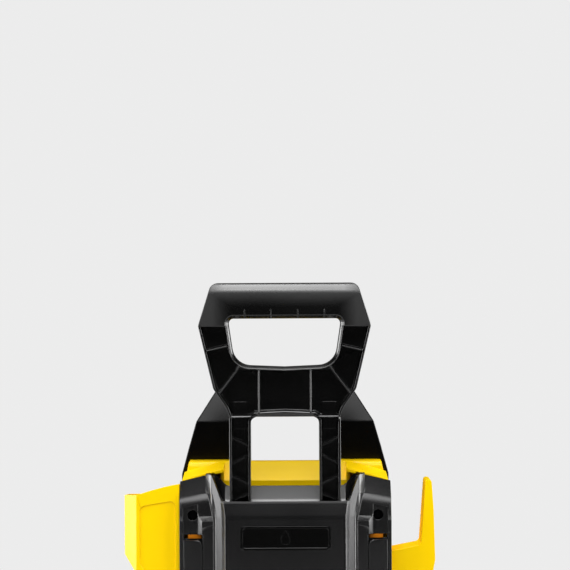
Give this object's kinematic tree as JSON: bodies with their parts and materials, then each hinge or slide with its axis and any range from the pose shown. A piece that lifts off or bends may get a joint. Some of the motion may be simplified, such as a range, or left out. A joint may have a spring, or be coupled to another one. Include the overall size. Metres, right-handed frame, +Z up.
{
  "type": "pressure washer",
  "caption": "Upright pressure washer on two wheels: yellow housing, dark rear panel, telescopic pull handle, carry bow, gun holster, hose hook, motor and piston pump inside.",
  "frame": {"origin": "on the floor under the middle of the machine's outer box", "axes": "+Z up; the operator's side with the pull handle faces -Y, the front with the switch and connections faces +Y; +X is to the right seen from the operator's side"},
  "size_m": [0.298, 0.28, 0.549],
  "materials": {
    "badge_black": "gloss black, blank",
    "brass": "machined brass",
    "carbon": "pressed carbon",
    "cast_alloy": "die-cast",
    "clip_red": "red satin",
    "copper": "copper segments",
    "handle_black": "black, semi-gloss",
    "housing_yellow": "fine satin moulded, dyed yellow",
    "knob_grey": "mid grey satin",
    "laminated_steel": "varnished laminations and winding",
    "panel_grey": "dark grey, fine spark-eroded grain",
    "rubber": "black rubber",
    "steel": "zinc plated",
    "tray_black": "black, matt grain",
    "tyre": "black tread compound",
    "white_plastic": "natural white engineering plastic"
  },
  "bodies": {
    "body": {"rear_panel": "panel_grey", "panel_inserts": "panel_grey", "badge_plate": "badge_black", "rear_screws": "steel", "front_housing": "housing_yellow", "carry_handle": "handle_black", "chassis_base": "tray_black", "front_feet": "rubber", "handle_guides": "tray_black", "handle_detents": "steel", "gun_holster": "housing_yellow", "hose_hook": "housing_yellow", "lance_holder": "tray_black", "front_fascia": "tray_black", "switch_box": "tray_black", "outlet_fitting": "tray_black", "inlet_fitting": "tray_black", "inlet_strainer": "white_plastic", "inlet_adapter": "housing_yellow", "cable_gland": "handle_black", "wheel_axle": "steel", "axle_clips": "steel", "motor_can": "steel", "stator": "laminated_steel", "motor_end_shield": "tray_black", "motor_bearings": "steel", "brush_holders": "brass", "carbon_brushes": "carbon", "gearbox_housing": "cast_alloy", "gear_spindle": "steel", "pump_block": "cast_alloy", "cylinder_head": "cast_alloy", "piston_springs": "steel", "valve_caps": "brass", "rubber_mounts": "rubber", "suction_pipe": "rubber", "pressure_pipe": "steel", "unloader_valve": "brass", "microswitch": "tray_black", "capacitor": "cast_alloy"},
    "pull_handle": {"handle_grip": "handle_black", "handle_struts": "handle_black"},
    "wheel_left": {"wheel_rim_left": "tray_black", "wheel_tyre_left": "tyre", "wheel_cap_left": "housing_yellow"},
    "wheel_right": {"wheel_rim_right": "tray_black", "wheel_tyre_right": "tyre", "wheel_cap_right": "housing_yellow"},
    "switch": {"switch_knob": "knob_grey"},
    "clip": {"outlet_clip": "clip_red"},
    "rotor": {"armature_shaft": "steel", "armature_core": "laminated_steel", "commutator": "copper", "cooling_fan": "tray_black", "motor_pinion": "steel"},
    "drive": {"drive_gear": "white_plastic", "swash_disc": "steel"},
    "piston_a": {"piston_1": "white_plastic"},
    "piston_b": {"piston_2": "white_plastic"},
    "piston_c": {"piston_3": "white_plastic"}
  },
  "joints": [
    {"name": "handle_slide", "type": "slide", "parent": "body", "child": "pull_handle", "axis": [0, 0, 1], "range_m": [0, 0.234]},
    {"name": "wheel_left_spin", "type": "hinge", "parent": "body", "child": "wheel_left", "pos_m": [-0.122, -0.075, 0.065], "axis": [1, 0, 0], "continuous": true},
    {"name": "wheel_right_spin", "type": "hinge", "parent": "body", "child": "wheel_right", "pos_m": [0.122, -0.075, 0.065], "axis": [1, 0, 0], "continuous": true},
    {"name": "switch_turn", "type": "hinge", "parent": "body", "child": "switch", "pos_m": [0, 0.118, 0.192], "axis": [0, 1, 0], "range_deg": [0, 90]},
    {"name": "clip_press", "type": "slide", "parent": "body", "child": "clip", "axis": [0, 0, -1], "range_m": [0, 0.0022], "stiffness_N_per_m": 600, "springref_m": -0.004},
    {"name": "rotor_spin", "type": "hinge", "parent": "body", "child": "rotor", "pos_m": [0, 0.03, 0.26], "axis": [0, 0, 1], "continuous": true},
    {"name": "drive_spin", "type": "hinge", "parent": "body", "child": "drive", "pos_m": [0, -0.0075, 0.185], "axis": [0, 0, 1], "continuous": true},
    {"name": "piston_a_stroke", "type": "slide", "parent": "body", "child": "piston_a", "axis": [0, 0, -1], "range_m": [0, 0.0035], "stiffness_N_per_m": 800, "springref_m": -0.005},
    {"name": "piston_b_stroke", "type": "slide", "parent": "body", "child": "piston_b", "axis": [0, 0, -1], "range_m": [0, 0.0035], "stiffness_N_per_m": 800, "springref_m": -0.005},
    {"name": "piston_c_stroke", "type": "slide", "parent": "body", "child": "piston_c", "axis": [0, 0, -1], "range_m": [0, 0.0035], "stiffness_N_per_m": 800, "springref_m": -0.005}
  ],
  "couplings": [
    {"joint": "drive_spin", "follows": "rotor_spin", "ratio": -0.25}
  ]
}
